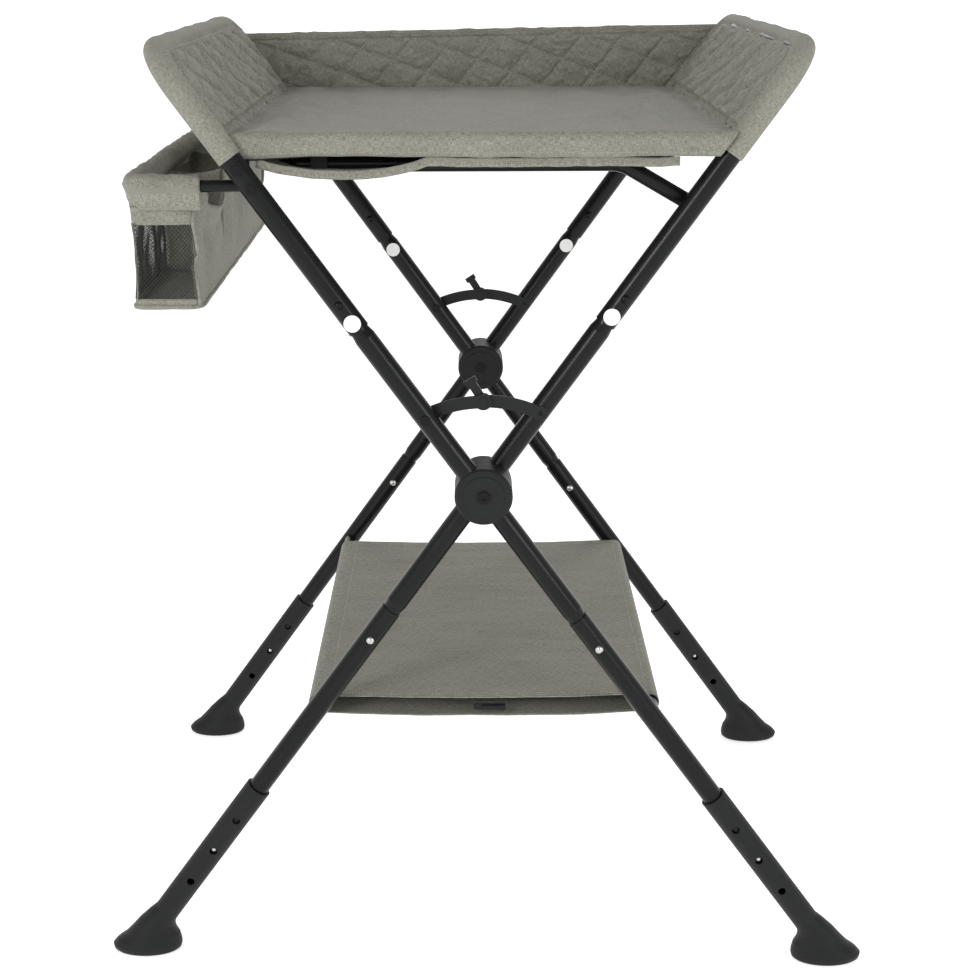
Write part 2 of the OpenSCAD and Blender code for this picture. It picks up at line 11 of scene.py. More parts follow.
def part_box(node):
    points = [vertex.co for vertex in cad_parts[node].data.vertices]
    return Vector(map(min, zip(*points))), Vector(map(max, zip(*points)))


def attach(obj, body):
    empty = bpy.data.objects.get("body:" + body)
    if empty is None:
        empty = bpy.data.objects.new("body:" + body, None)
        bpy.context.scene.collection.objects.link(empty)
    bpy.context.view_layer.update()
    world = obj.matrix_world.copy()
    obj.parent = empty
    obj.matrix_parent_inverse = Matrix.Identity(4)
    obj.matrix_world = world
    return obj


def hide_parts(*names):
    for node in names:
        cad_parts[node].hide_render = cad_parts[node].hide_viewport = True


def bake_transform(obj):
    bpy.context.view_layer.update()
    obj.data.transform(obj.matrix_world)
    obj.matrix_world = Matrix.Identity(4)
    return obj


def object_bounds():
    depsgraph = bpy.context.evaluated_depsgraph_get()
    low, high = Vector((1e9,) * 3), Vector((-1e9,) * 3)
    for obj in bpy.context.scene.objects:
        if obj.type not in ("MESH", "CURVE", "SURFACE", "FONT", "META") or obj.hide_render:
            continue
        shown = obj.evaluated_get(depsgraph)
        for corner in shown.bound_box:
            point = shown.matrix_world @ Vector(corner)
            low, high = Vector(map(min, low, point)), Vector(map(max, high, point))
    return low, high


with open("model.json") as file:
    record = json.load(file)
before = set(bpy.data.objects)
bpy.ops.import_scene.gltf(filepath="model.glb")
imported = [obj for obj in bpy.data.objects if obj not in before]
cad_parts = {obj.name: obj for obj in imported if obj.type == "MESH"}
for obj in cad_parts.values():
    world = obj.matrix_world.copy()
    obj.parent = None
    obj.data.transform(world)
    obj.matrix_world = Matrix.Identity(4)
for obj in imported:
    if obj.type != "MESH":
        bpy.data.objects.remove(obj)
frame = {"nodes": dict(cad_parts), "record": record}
cad_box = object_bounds()
scene = bpy.context.scene

# ---- Places, worked out from the frame ----

HUB = (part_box("left_front_hub_shell")[0].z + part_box("left_front_hub_shell")[1].z) / 2
TILT = math.radians(35.7)               # the legs' lean from upright
LEAN = math.tan(TILT)
TUBE = 0.011                            # radius of the leg tubes
HOOP = {side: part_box(f"{side}_wing_hoop") for side in ("left", "right")}
HOOP_TOP = (HOOP["right"][1].z - TUBE - HUB) / math.cos(TILT)
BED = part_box("bed_pad")
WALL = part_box("rear_wall")
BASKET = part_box("basket_shell")
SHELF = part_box("shelf_cloth")
SHELF_BARS = [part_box("right_shelf_bar"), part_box("left_shelf_bar")]


def leg_x(z):
    """Distance of a leg's centre line from the middle of the table at a height."""
    return abs(z - HUB) * LEAN


def put(name, data):
    """Puts an object in the scene."""
    obj = bpy.data.objects.new(name, data)
    scene.collection.objects.link(obj)
    return obj


# ---- Camera, floor and light ----


def make_camera():
    data = bpy.data.cameras.new("camera")
    data.sensor_width = 36
    data.lens = 65.88
    data.clip_end = 50
    camera = put("camera", data)
    camera.location = (-0.0105, -2.002, 1.064)
    camera.rotation_euler = (math.radians(90 - 17.03), math.radians(0.13), math.radians(-0.44))
    scene.camera = camera


def make_light(name, place, size, power):
    """A soft square light that faces the middle of the table."""
    data = bpy.data.lights.new(name, "AREA")
    data.size = size
    data.energy = power
    light = put(name, data)
    light.location = place
    light.rotation_euler = (Vector((0, 0, 0.55)) - Vector(place)).to_track_quat("-Z", "Y").to_euler()


def make_world():
    """Even white light from the horizon and below, and a dimmer ceiling."""
    world = bpy.data.worlds.new("studio")
    world.use_nodes = True
    tree = world.node_tree
    background = tree.nodes["Background"]
    background.inputs["Color"].default_value = (1, 1, 1, 1)
    direction = tree.nodes.new("ShaderNodeSeparateXYZ")
    tree.links.new(coordinates(tree, "Generated"), direction.inputs["Vector"])
    tree.links.new(span(tree, direction.outputs["Z"], 1.38, 0.54, 0.0, 0.5), background.inputs["Strength"])
    scene.world = world


def make_studio():
    scene.view_settings.view_transform = "Standard"
    make_world()
    make_light("key", (-1.7, -2.6, 1.75), 0.8, 26)
    make_light("fill", (2.1, -2.3, 1.3), 0.9, 14)
    make_light("back", (0.4, 2.2, 2.2), 1.4, 14)
    material, _, shader = new_material("floor_paint", (0.85, 0.85, 0.85), 0.9)
    shader.inputs["Emission Color"].default_value = (1, 1, 1, 1)
    shader.inputs["Emission Strength"].default_value = 0.6
    reach = 14
    corners = [(-reach, -reach, 0), (reach, -reach, 0), (reach, reach, 0), (-reach, reach, 0)]
    floor = new_piece("floor", corners, [(0, 1, 2, 3)], material, smooth=False)
    floor.location.z = cad_box[0][2] - 0.0005


# ---- Materials ----


def new_material(name, colour, roughness):
    """A material with its shader, in linear colour."""
    material = bpy.data.materials.new(name)
    material.use_nodes = True
    tree = material.node_tree
    shader = tree.nodes["Principled BSDF"]
    shader.inputs["Base Color"].default_value = (*colour, 1)
    shader.inputs["Roughness"].default_value = roughness
    return material, tree, shader


def noise_node(tree, source, size, detail=3, stretch=(1, 1, 1)):
    """Noise with features of a size in metres, on coordinates stretched as asked."""
    mapping = tree.nodes.new("ShaderNodeMapping")
    mapping.inputs["Scale"].default_value = [s / size for s in stretch]
    texture = tree.nodes.new("ShaderNodeTexNoise")
    texture.inputs["Scale"].default_value = 1
    texture.inputs["Detail"].default_value = detail
    tree.links.new(source, mapping.inputs["Vector"])
    tree.links.new(mapping.outputs["Vector"], texture.inputs["Vector"])
    return texture.outputs["Fac"]


def ramp(tree, value, stops):
    """A colour ramp of (place, colour) stops."""
    node = tree.nodes.new("ShaderNodeValToRGB")
    band = node.color_ramp
    while len(band.elements) < len(stops):
        band.elements.new(0.5)
    for element, (place, colour) in zip(band.elements, stops):
        element.position = place
        element.color = (*colour, 1)
    tree.links.new(value, node.inputs["Fac"])
    return node.outputs["Color"]


def span(tree, value, low, high, start=0.0, end=1.0):
    """Maps a value from one range to another."""
    node = tree.nodes.new("ShaderNodeMapRange")
    node.inputs["From Min"].default_value = start
    node.inputs["From Max"].default_value = end
    node.inputs["To Min"].default_value = low
    node.inputs["To Max"].default_value = high
    tree.links.new(value, node.inputs["Value"])
    return node.outputs["Result"]


def maths(tree, operation, a, b=None):
    node = tree.nodes.new("ShaderNodeMath")
    node.operation = operation
    for socket, value in zip(node.inputs, (a, b)):
        if isinstance(value, (int, float)):
            socket.default_value = value
        elif value is not None:
            tree.links.new(value, socket)
    return node.outputs["Value"]


def mix(tree, kind, factor, a, b):
    """Mixes two colours, each a socket or a triple."""
    node = tree.nodes.new("ShaderNodeMix")
    node.data_type = "RGBA"
    node.blend_type = kind
    for socket, value in ((node.inputs[0], factor), (node.inputs[6], a), (node.inputs[7], b)):
        if isinstance(value, (int, float)):
            socket.default_value = value
        elif isinstance(value, tuple):
            socket.default_value = (*value, 1)
        else:
            tree.links.new(value, socket)
    return node.outputs[2]


def bump(tree, shader, height, distance, strength=1.0):
    node = tree.nodes.new("ShaderNodeBump")
    node.inputs["Distance"].default_value = distance
    node.inputs["Strength"].default_value = strength
    tree.links.new(height, node.inputs["Height"])
    tree.links.new(node.outputs["Normal"], shader.inputs["Normal"])


def coordinates(tree, kind="Object"):
    return tree.nodes.new("ShaderNodeTexCoord").outputs[kind]


def paint(tree, shader, factor, a, b):
    """Colours a shader between two colours by a factor."""
    tree.links.new(mix(tree, "MIX", factor, a, b), shader.inputs["Base Color"])


def scaled(colour, by):
    return tuple(c * by for c in colour)


def powder_coat(name="powder_coat", colour=(0.004, 0.0044, 0.0044), shine=0.22):
    """Glossy black powder coat with faint orange peel and small scuffs."""
    material, tree, shader = new_material(name, colour, shine)
    place = coordinates(tree)
    cloud = noise_node(tree, place, 0.05, 4)
    scuff = noise_node(tree, place, 0.004, 6, (1, 1, 0.3))
    paint(tree, shader, cloud, colour, scaled(colour, 1.7))
    mark = span(tree, scuff, 0.0, 0.3, 0.62, 0.8)
    tree.links.new(maths(tree, "ADD", span(tree, cloud, shine - 0.06, shine + 0.1), mark),
                   shader.inputs["Roughness"])
    shader.inputs["Specular IOR Level"].default_value = 0.2
    peel = noise_node(tree, place, 0.0012, 2)
    bump(tree, shader, peel, 0.00005, 0.5)
    return material


def moulded_plastic(name="moulded_plastic", colour=(0.009, 0.01, 0.0095)):
    """Black moulded plastic with a fine spark-eroded grain."""
    material, tree, shader = new_material(name, colour, 0.5)
    place = coordinates(tree)
    shader.inputs["Specular IOR Level"].default_value = 0.2
    grain = noise_node(tree, place, 0.0006, 2)
    cloud = noise_node(tree, place, 0.03, 4)
    paint(tree, shader, cloud, colour, scaled(colour, 1.5))
    tree.links.new(span(tree, grain, 0.42, 0.62, 0.3, 0.7), shader.inputs["Roughness"])
    bump(tree, shader, grain, 0.00008, 0.6)
    return material


def steel(name, colour, roughness):
    """Plated steel with turning marks across its axis."""
    material, tree, shader = new_material(name, colour, roughness)
    shader.inputs["Metallic"].default_value = 1
    place = coordinates(tree)
    marks = noise_node(tree, place, 0.003, 5, (8, 1, 8))
    tree.links.new(span(tree, marks, roughness - 0.08, roughness + 0.12), shader.inputs["Roughness"])
    paint(tree, shader, marks, colour, scaled(colour, 0.7))
    return material


def disc_film():
    """The plain white film of the round marks, with a little handling wear."""
    material, tree, shader = new_material("disc_film", (0.8, 0.8, 0.78), 0.35)
    place = coordinates(tree)
    wear = noise_node(tree, place, 0.002, 5)
    paint(tree, shader, span(tree, wear, 0, 0.5, 0.5, 0.8), (0.82, 0.82, 0.8), (0.6, 0.6, 0.57))
    tree.links.new(span(tree, wear, 0.28, 0.5), shader.inputs["Roughness"])
    return material


def melange(name, light, dark, thread=0.00055):
    """Plain-weave melange cloth: two shades of yarn along U and V, with slubs and a soft sheen."""
    middle = tuple((a + b) / 2 for a, b in zip(light, dark))
    material, tree, shader = new_material(name, middle, 0.88)
    uv = coordinates(tree, "UV")
    warp = noise_node(tree, uv, thread * 1.9, 4, (2.4, 0.2, 1))
    weft = noise_node(tree, uv, thread * 1.9, 4, (0.2, 2.4, 1))
    yarn = maths(tree, "ADD", maths(tree, "MULTIPLY", warp, 0.5), maths(tree, "MULTIPLY", weft, 0.5))
    shade = ramp(tree, yarn, [(0.40, dark), (0.49, middle), (0.60, light)])
    cloud = noise_node(tree, coordinates(tree), 0.05, 4)
    tree.links.new(mix(tree, "MULTIPLY", 1.0, shade,
                       ramp(tree, cloud, [(0.3, (0.94, 0.94, 0.94)), (0.7, (1.04, 1.04, 1.035))])),
                   shader.inputs["Base Color"])
    weave = []
    for direction in "XY":
        wave = tree.nodes.new("ShaderNodeTexWave")
        wave.wave_type = "BANDS"
        wave.bands_direction = direction
        wave.inputs["Scale"].default_value = 0.31 / thread
        wave.inputs["Distortion"].default_value = 0.6
        wave.inputs["Detail"].default_value = 1
        tree.links.new(uv, wave.inputs["Vector"])
        weave.append(wave.outputs["Fac"])
    height = maths(tree, "ADD", maths(tree, "MAXIMUM", *weave), maths(tree, "MULTIPLY", yarn, 1.6))
    bump(tree, shader, height, 0.00022, 0.55)
    shader.inputs["Sheen Weight"].default_value = 0.12
    shader.inputs["Sheen Roughness"].default_value = 0.5
    return material


def thread_material(name, colour):
    """Twisted sewing thread."""
    material, tree, shader = new_material(name, colour, 0.6)
    place = coordinates(tree)
    twist = noise_node(tree, place, 0.0006, 2)
    paint(tree, shader, twist, scaled(colour, 0.7), colour)
    bump(tree, shader, twist, 0.0001, 0.6)
    return material


LIGHT_YARN = (0.335, 0.33, 0.278)
DARK_YARN = (0.118, 0.12, 0.095)
CLOTH = melange("melange_cloth", LIGHT_YARN, DARK_YARN)
THREAD = thread_material("pale_thread", (0.5, 0.49, 0.42))
NET = thread_material("net_yarn", (0.035, 0.036, 0.032))
COAT = powder_coat()
SATIN = powder_coat("satin_coat", (0.009, 0.0095, 0.01), 0.36)
PLASTIC = moulded_plastic()
BLACKENED = steel("blackened_steel", (0.022, 0.022, 0.023), 0.34)
ZINC = steel("bright_zinc", (0.62, 0.62, 0.6), 0.26)
FILM = disc_film()
SLOT_MATERIALS = {
    "frame_tube": COAT, "stay_steel": SATIN, "screws": BLACKENED, "black_button": BLACKENED,
    "bright_steel": ZINC, "plastic": PLASTIC, "label": FILM, "mesh": NET, "fabric": CLOTH,
}


def dress_cad():
    """Gives every CAD node the finished material of its slot."""
    slots = {s["node"]: s["material_slot"] for s in frame["record"]["subparts"]}
    for name, obj in frame["nodes"].items():
        obj.data.materials.clear()
        obj.data.materials.append(SLOT_MATERIALS[slots[name]])


# ---- Mesh helpers ----


def new_piece(name, points, faces, material, uvs=None, smooth=True):
    """A mesh object. uvs holds one (u, v) in metres for each vertex."""
    mesh = bpy.data.meshes.new(name)
    mesh.from_pydata([tuple(p) for p in points], [], faces)
    mesh.validate()
    if uvs is not None:
        layer = mesh.uv_layers.new(name="cloth")
        for loop in mesh.loops:
            layer.data[loop.index].uv = uvs[loop.vertex_index]
    mesh.materials.append(material)
    for polygon in mesh.polygons:
        polygon.use_smooth = smooth
    return put(name, mesh)


@contextmanager
def edited(data):
    """The mesh as a bmesh, which is written back when the block ends."""
    mesh = bmesh.new()
    mesh.from_mesh(data)
    yield mesh
    mesh.to_mesh(data)
    mesh.free()


def grid_faces(rows, columns, first=0, round_rows=False, round_columns=False):
    """Quads over a grid of vertices stored row by row."""
    faces = []
    for i in range(rows if round_rows else rows - 1):
        for j in range(columns if round_columns else columns - 1):
            a, b = (i % rows) * columns, ((i + 1) % rows) * columns
            c, d = j % columns, (j + 1) % columns
            faces.append((first + a + c, first + a + d, first + b + d, first + b + c))
    return faces


def grid_sheet(name, rows, columns, spot):
    """An open sheet of cloth. spot(row, column) gives each point and its place on the flat cloth."""
    made = [spot(row, column) for row in rows for column in columns]
    return new_piece(name, [point for point, flat in made], grid_faces(len(rows), len(columns)), CLOTH,
                     [flat for point, flat in made])


def steps(low, high, count):
    return [low + (high - low) * i / (count - 1) for i in range(count)]


def edged_steps(low, high, edge, fine, count):
    """Steps from low to high that are fine within edge of both ends."""
    inner = steps(low + edge, high - edge, count)
    first = [low + edge * (1 - math.cos(math.pi / 2 * i / fine)) for i in range(fine)]
    return first + inner + [low + high - x for x in reversed(first)]


def crumple(point, size, depth, seed):
    """Smooth random height for cloth, of that depth, with features of that size."""
    shift = Vector((seed * 7.31, seed * 3.17, seed * 5.71))
    return depth * noise.fractal(Vector(point) / size + shift, 0.6, 2.1, 3, noise_basis="PERLIN_ORIGINAL")


def ease(t):
    t = max(0.0, min(1.0, t))
    return t * t * (3 - 2 * t)


def thicken(obj, thickness, offset=-1):
    """Gives a single sheet its thickness and applies it."""
    solid = obj.modifiers.new("thick", "SOLIDIFY")
    solid.thickness = thickness
    solid.offset = offset
    apply_modifiers(obj)
    return obj


def apply_modifiers(obj):
    graph = bpy.context.evaluated_depsgraph_get()
    mesh = bpy.data.meshes.new_from_object(obj.evaluated_get(graph))
    obj.modifiers.clear()
    old = obj.data
    obj.data = mesh
    bpy.data.meshes.remove(old)
    for polygon in mesh.polygons:
        polygon.use_smooth = True


# ---- Cloth simulation ----

FRAMES = 16                      # how long a sheet has to settle
SLACK = 0.02                     # how much longer the cloth is than its outline


def inflate(obj, held, pressure, cap):
    """Runs cloth simulation on a sheet that is held at some vertices, and keeps the result."""
    group = obj.vertex_groups.new(name="held")
    group.add(held, 1.0, "REPLACE")
    cloth = obj.modifiers.new("cloth", "CLOTH")
    settings = cloth.settings
    settings.quality = 5
    settings.mass = 0.15
    settings.tension_stiffness = 18
    settings.compression_stiffness = 14
    settings.shear_stiffness = 6
    settings.bending_stiffness = 0.3
    settings.vertex_group_mass = "held"
    settings.shrink_min = -SLACK
    settings.use_pressure = True
    settings.uniform_pressure_force = pressure
    settings.effector_weights.gravity = 0
    cloth.collision_settings.use_collision = False
    cloth.point_cache.frame_start = 1
    cloth.point_cache.frame_end = FRAMES
    before = [v.co.copy() for v in obj.data.vertices]
    for number in range(1, FRAMES + 1):
        scene.frame_set(number)
    result = obj.evaluated_get(bpy.context.evaluated_depsgraph_get()).data
    after = [v.co.copy() for v in result.vertices]
    obj.modifiers.remove(cloth)
    obj.vertex_groups.clear()
    scene.frame_set(1)
    for vertex, a, b in zip(obj.data.vertices, before, after):
        move = b - a
        if move.length > cap:
            move *= cap / move.length
        vertex.co = a + move


# ---- Sewing ----

STITCH = (0.0, 0.36, 0.72)       # a stitch's start, middle and end, as parts of the pitch


def sew(name, lines, surface, normal, pitch=0.0034, width=0.0008, lift=0.0005):
    """Sewn stitches along lines of points, laid on a surface that is met along minus normal."""
    tree = BVHTree.FromObject(surface, bpy.context.evaluated_depsgraph_get())
    points, faces = [], []
    for line in lines:
        travelled = 0.0
        for a, b in zip(line, line[1:]):
            a, b = Vector(a), Vector(b)
            length = (b - a).length
            if length == 0:
                continue
            along = (b - a) / length
            while travelled < length:
                ends = []
                for part in STITCH:
                    spot = a + along * min(travelled + part * pitch, length)
                    hit = tree.ray_cast(spot + normal * 0.03, -normal)[0]
                    if hit is None:
                        break
                    rise = lift if part == STITCH[1] else lift * 0.15
                    ends.append(hit + normal * rise)
                travelled += pitch
                if len(ends) < 3:
                    continue
                side = along.cross(normal).normalized() * width / 2
                up = normal * width / 2
                first = len(points)
                for spot in ends:
                    points.extend([spot - side, spot + up, spot + side, spot - up])
                faces.extend(grid_faces(3, 4, first, round_columns=True))
                faces.extend([(first + 3, first + 2, first + 1, first),
                              (first + 8, first + 9, first + 10, first + 11)])
            travelled -= length
    piece = new_piece(name, points, faces, THREAD)
    return piece


# ---- The quilting pattern ----

# Each family of stitch lines is (its slope, up for each unit along, and its spacing along a level line)
WALL_QUILT = ((1.25, 0.053), (-0.40, 0.105))
WING_QUILT = ((1.25, 0.053), (-0.55, 0.075))
QUILT_DIP = 0.0058                               # depth of a stitch line in the padding


def quilt_distance(u, v, families):
    """Distance from a point of the quilting to the nearest of its lines."""
    gaps = []
    for slope, pitch in families:
        gap = abs(((u - v / slope) / pitch + 0.5) % 1 - 0.5) * pitch
        gaps.append(gap * abs(slope) / math.hypot(1, slope))
    return min(gaps)


def quilt_lines(u0, u1, v0, v1, families, inside, step=0.003):
    """The quilting's lines within a rectangle, cut where inside(u, v) is false."""
    lines = []
    for slope, pitch in families:
        reach = max(abs(v0 / slope), abs(v1 / slope))
        for number in range(math.floor((u0 - reach) / pitch), math.ceil((u1 + reach) / pitch) + 1):
            line = []
            for v in steps(v0, v1, int((v1 - v0) * math.hypot(1, 1 / slope) / step) + 2):
                u = number * pitch + v / slope
                if u0 <= u <= u1 and inside(u, v):
                    line.append((u, v))
                    continue
                if len(line) > 1:
                    lines.append(line)
                line = []
            if len(line) > 1:
                lines.append(line)
    return lines


def puff(gap, depth=QUILT_DIP, width=0.0045):
    """Height of padding at a distance from the nearest stitch line, 0 on the line."""
    return depth * (1 - math.exp(-gap / width))


# ---- The wings ----

COVER = TUBE + 0.0014            # the cover's outside radius round the hoop
CORNER = 0.045 + COVER
CHANNEL = COVER + 0.007          # the width of the sewn channel that holds the tube
PAD_BASE = COVER - 0.0035        # the stitch lines' height above the hoop's middle plane
PLAIN_STRIP = 0.026              # the unquilted strip along the bed
TOP_WAVE = 0.0015                # unevenness of the top edge
TOP_DIP = 0.0006                 # the most that the top edge may dip towards the tube


def roll(depth):
    """Length of cloth from a hoop's outermost line to a depth in from it."""
    if depth < COVER:
        return COVER * math.acos(max(-1.0, 1 - max(0.0, depth) / COVER))
    return COVER * (math.pi / 2 - 1) + depth


class Wing:
    """One wing cover, in the plane of its hoop: y across the table's depth, r up the leg and h inwards."""

    def __init__(self, side):
        self.side = side
        self.sign = -1 if side == "left" else 1
        low, high = HOOP[side]
        self.up = Vector((self.sign * math.sin(TILT), 0, math.cos(TILT)))
        self.normal = Vector((-self.sign * math.cos(TILT), 0, math.sin(TILT)))
        self.y0 = low.y + TUBE - COVER
        self.y1 = high.y - TUBE + COVER
        self.r0 = (BED[0].z + 0.001 - HUB) / math.cos(TILT)
        self.r1 = HOOP_TOP + COVER

    def place(self, y, r, h):
        return Vector((0, y, HUB)) + self.up * r + self.normal * h

    def rounded(self, y, r):
        """Moves a point of the square outline onto the one with rounded top corners."""
        corner_y = self.y0 + CORNER if y < self.y0 + CORNER else self.y1 - CORNER
        a = abs(y - corner_y)
        b = r - (self.r1 - CORNER)
        if b <= 0 or (self.y0 + CORNER <= y <= self.y1 - CORNER):
            return y, r
        reach = max(a, b)
        angle = math.pi / 4 * b / a if a >= b else math.pi / 2 - math.pi / 4 * a / b
        turned = math.copysign(reach * math.cos(angle), y - corner_y)
        return corner_y + turned, self.r1 - CORNER + reach * math.sin(angle)

    def cloth_place(self, y, r):
        """Where a point lies on the flat cloth, which is rolled round the hoop at its edges."""
        rolled = self.y1 - self.y0 + (math.pi - 2) * COVER
        along = roll(y - self.y0) if 2 * y < self.y0 + self.y1 else rolled - roll(self.y1 - y)
        return along, -roll(self.r1 - r)

    def inset(self, y, r):
        """Distance in from the outline, on the square outline."""
        return min(y - self.y0, self.y1 - y, self.r1 - r)

    def quilted(self, y, r):
        return self.inset(y, r) > CHANNEL and r > self.r0 + PLAIN_STRIP

    def height(self, y, r):
        """Height of the padded inner face above the hoop's middle plane."""
        depth = self.inset(y, r)
        if depth < COVER:
            return math.sqrt(max(0.0, COVER ** 2 - (COVER - depth) ** 2))
        fall = ease((depth - COVER) / (CHANNEL - COVER))
        rise = COVER * (1 - fall) + PAD_BASE * fall
        if self.quilted(y, r):
            rise += puff(min(quilt_distance(y, r, WING_QUILT), depth - CHANNEL))
            pucker = math.exp(-quilt_distance(y, r, WING_QUILT) / 0.006)
            rise += crumple((y * 1.6, r * 0.35, 0), 0.007, 0.0011, 4) * pucker
        return rise + crumple((y, r * 2, 1), 0.04, 0.0018, 3 + self.sign) * fall

    def sewn(self, y, r):
        """True where the inner face is held down: round its edge and along its stitch lines."""
        if self.inset(y, r) < CHANNEL + 0.001:
            return True
        return self.quilted(y, r) and quilt_distance(y, r, WING_QUILT) < 0.0014

    def cover_point(self, y, r, h):
        """A point of the cover at a height, with its top edge a little uneven but outside the tube."""
        flat_y, flat_r = self.rounded(y, r)
        wave = max(-TOP_DIP, crumple((flat_y, 0, 0), 0.06, TOP_WAVE, 2))
        return self.place(flat_y, flat_r + wave * ease((r - self.r1 + 0.03) / 0.03), h)

    def outer_height(self, y, r):
        """The unpadded outer face, pulled in between the hoop's legs."""
        depth = self.inset(y, r)
        if depth < COVER:
            return -math.sqrt(max(0.0, COVER ** 2 - (COVER - depth) ** 2))
        slack = ease((depth - COVER) / 0.12) * ease((r - self.r0 - 0.024) / 0.03)
        return -COVER + 0.005 * slack + crumple((y, r * 1.6, 9), 0.05, 0.002, 11 + self.sign) * slack


def make_wing(side):
    wing = Wing(side)
    ys = edged_steps(wing.y0, wing.y1, COVER, 7, 270)
    rs = edged_steps(wing.r0 - COVER, wing.r1, COVER, 7, 72)
    rs = [r for r in rs if r >= wing.r0]
    spots = [(y, r) for r in rs for y in ys]
    uvs = [wing.cloth_place(y, r) for y, r in spots]
    held = [k for k, (y, r) in enumerate(spots) if r == rs[0] or wing.sewn(y, r)]
    columns = len(ys)
    faces = grid_faces(len(rs), columns)
    inner = new_piece(f"{side}_wing_inner", [wing.cover_point(y, r, wing.height(y, r)) for y, r in spots],
                      faces, CLOTH, uvs)
    orient(inner, wing.normal)
    inflate(inner, held, pressure=1.5, cap=0.004)
    points = [v.co.copy() for v in inner.data.vertices]
    bpy.data.objects.remove(inner)
    count = len(points)
    points += [wing.cover_point(y, r, wing.outer_height(y, r)) for y, r in spots]
    faces += [tuple(count + k for k in reversed(face)) for face in faces]
    faces += [(j, count + j, count + j + 1, j + 1) for j in range(columns - 1)]
    cover = new_piece(f"{side}_wing_cover", points, faces, CLOTH, uvs + [(u + 1.3, v) for u, v in uvs])
    weld(cover)
    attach(cover, f"{side}_frame")
    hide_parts(f"{side}_wing_pad")
    sew_wing(wing, cover)
    return cover


def orient(obj, direction):
    """Turns the faces of an open sheet towards a direction."""
    total = sum((p.normal * p.area for p in obj.data.polygons), Vector())
    if total.dot(direction) < 0:
        obj.data.flip_normals()


def weld(obj, reach=0.00002):
    with edited(obj.data) as mesh:
        bmesh.ops.remove_doubles(mesh, verts=mesh.verts, dist=reach)
        bmesh.ops.recalc_face_normals(mesh, faces=mesh.faces)
    for polygon in obj.data.polygons:
        polygon.use_smooth = True


def sew_wing(wing, cover):
    flat = quilt_lines(wing.y0, wing.y1, wing.r0, wing.r1, WING_QUILT, wing.quilted)
    border = [(wing.y0 + CHANNEL, r) for r in steps(wing.r0 + 0.004, wing.r1 - CORNER, 40)]
    border += corner_arc(wing, wing.y0, -1)
    border += [(y, wing.r1 - CHANNEL) for y in steps(wing.y0 + CORNER, wing.y1 - CORNER, 90)]
    border += corner_arc(wing, wing.y1, 1)[::-1]
    border += [(wing.y1 - CHANNEL, r) for r in steps(wing.r1 - CORNER, wing.r0 + 0.004, 40)]
    flat.append(border)
    stitches = sew(f"{wing.side}_wing_stitching", [[wing.place(y, r, 0) for y, r in line] for line in flat],
                   cover, wing.normal)
    hem = [wing.place(wing.y0, r, -0.0035) for r in steps(wing.r0 + 0.004, wing.r1 - CORNER, 60)]
    front = Vector((0, -1, 0))
    hem_stitches = sew(f"{wing.side}_wing_hem_stitching", [hem], cover, front)
    tack = [[wing.place(wing.y0, wing.r0 + rise, -0.004 + 0.0012 * k) for rise in (0.0035, 0.0055)]
            for k in range(9)]
    bar_tack = sew(f"{wing.side}_wing_bar_tack", tack, cover, front, pitch=0.0021, width=0.0007)
    for piece in (stitches, hem_stitches, bar_tack):
        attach(piece, f"{wing.side}_frame")


def corner_arc(wing, edge, end):
    """Points of the channel's seam round a top corner, from the side edge to the top edge."""
    centre = edge - end * CORNER
    reach = CORNER - CHANNEL
    return [(centre + end * reach * math.cos(turn), wing.r1 - CORNER + reach * math.sin(turn))
            for turn in steps(0, math.pi / 2, 14)]


# ---- The rear wall ----

WALL_HEM = 0.009                 # the rolled hem's height
WALL_DROOP = 0.0105              # how much lower the top edge is at its left end


def make_wall():
    """The quilted wall between the two wings, with a rolled hem along its top."""
    z0, z1 = WALL[0].z - 0.011, WALL[1].z - 0.001
    y = WALL[0].y
    columns, rows = 280, 48
    points, uvs, held = [], [], []
    for i in range(rows):
        z = z0 + (z1 - z0) * i / (rows - 1)
        left = -leg_x(z) + 0.006
        right = leg_x(z) - 0.013
        for j in range(columns):
            t = j / (columns - 1)
            x = left + (right - left) * t
            droop = wall_droop(x, z, z0, z1)
            gap = quilt_distance(x, z, WALL_QUILT)
            edge = min(z - z0, z1 - WALL_HEM - z)
            rise = puff(min(gap, max(edge, 0)), 0.0042) if z < z1 - WALL_HEM else 0.0022
            wave = crumple((x, z * 2, 0), 0.05, 0.003, 5)
            points.append((x, y - rise + 0.004 + wave * 0.6, z - droop))
            uvs.append((x, z))
            if i in (0, rows - 1) or j in (0, columns - 1) or z > z1 - WALL_HEM or gap < 0.0018:
                held.append(len(points) - 1)
    wall = new_piece("rear_wall_cloth", points, grid_faces(rows, columns), CLOTH, uvs)
    orient(wall, Vector((0, -1, 0)))
    inflate(wall, held, pressure=1.2, cap=0.003)
    thicken(wall, 0.0045)
    half = leg_x(z1)
    flat = quilt_lines(-half, half, z0 + 0.004, z1 - WALL_HEM - 0.002, WALL_QUILT, lambda u, v: True)
    lines = [[(u, y, v - wall_droop(u, v, z0, z1)) for u, v in line] for line in flat]
    for drop in (0.0025, 0.0068):
        lines.append([(x, y, z1 - drop - wall_droop(x, z1, z0, z1))
                      for x in steps(0.016 - half, half - 0.016, 200)])
    stitches = sew("rear_wall_stitching", lines, wall, Vector((0, -1, 0)))
    for piece in (wall, stitches):
        fold_over(piece)
    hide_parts("rear_wall")


def wall_droop(x, z, z0, z1):
    """How far the wall is below its full height: its top edge runs down a little towards the left."""
    half = leg_x(z1)
    return WALL_DROOP * (half - x) / (2 * half) * (z - z0) / (z1 - z0)


def fold_over(piece):
    """Bakes the piece's placement into its mesh."""
    -leg_x(BED[0].z)
    leg_x(BED[0].z)
    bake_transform(piece)


# ---- The bed ----


